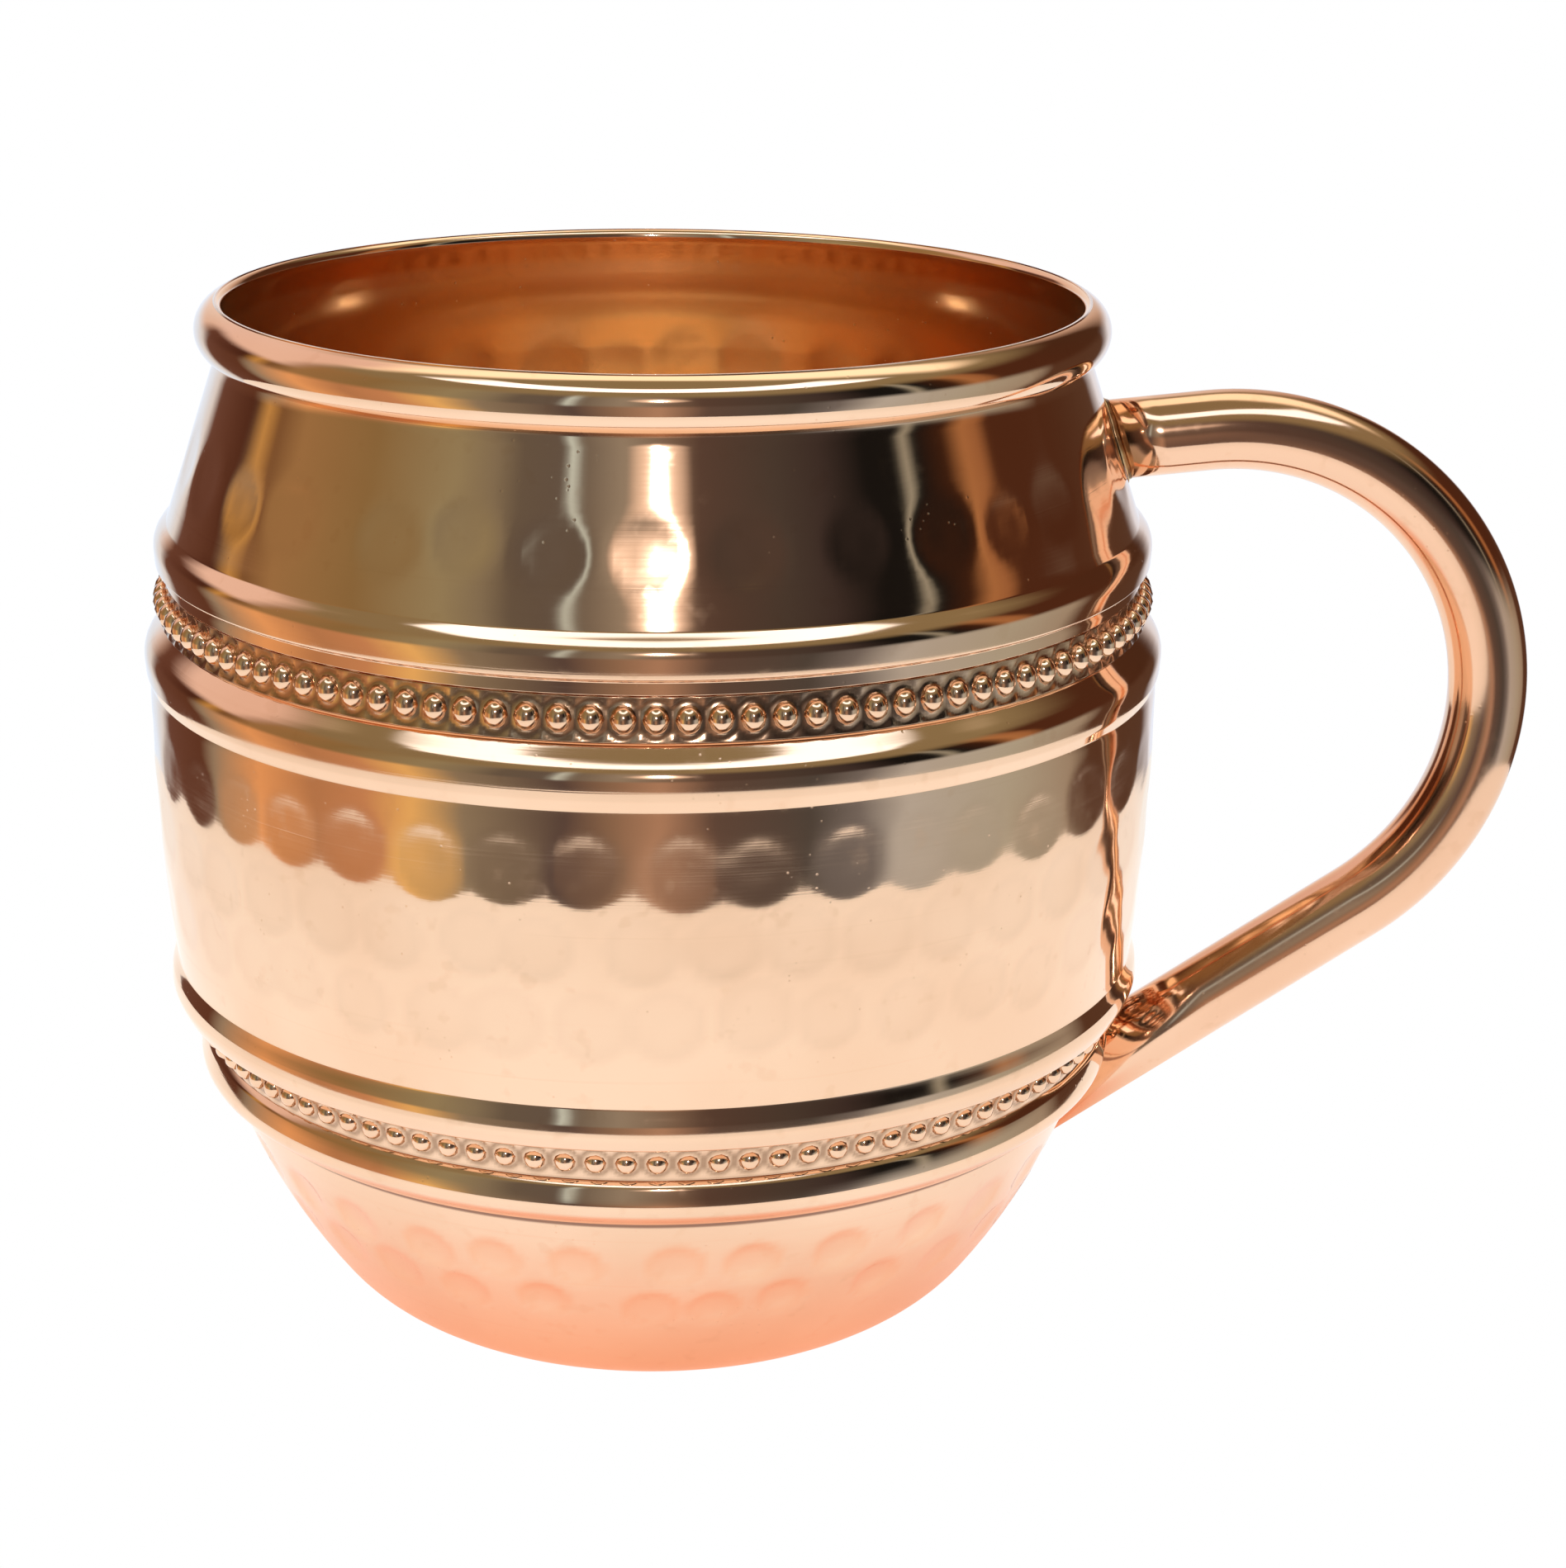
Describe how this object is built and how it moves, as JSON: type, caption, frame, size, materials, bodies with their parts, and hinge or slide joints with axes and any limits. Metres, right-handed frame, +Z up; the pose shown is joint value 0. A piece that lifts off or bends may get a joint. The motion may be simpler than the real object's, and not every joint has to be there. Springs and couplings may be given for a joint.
{
  "type": "drinking mug",
  "caption": "Hammered copper barrel mug with beaded bands between rolled ridges, a rolled rim and one loop handle of round tube.",
  "frame": {"origin": "centre of the flat base, on the mug's own axis, at the height of the table", "axes": "+Z up out of the mouth, +X towards the handle, +Y to the left of the handle seen from the front of the handle"},
  "size_m": [0.1321, 0.0958, 0.0979],
  "materials": {
    "body_copper": "hammered and mirror polished copper",
    "bowl_copper": "hammered and polished copper",
    "bead_copper": "pressed and polished copper beading",
    "handle_copper": "mirror polished copper tube",
    "braze_brass": "cleaned brazing metal"
  },
  "bodies": {
    "root": {"barrel_body": "body_copper", "base_bowl": "bowl_copper", "upper_beaded_strip": "bead_copper", "lower_beaded_strip": "bead_copper", "handle_tube": "handle_copper", "upper_braze": "braze_brass", "lower_braze": "braze_brass"}
  },
  "joints": []
}
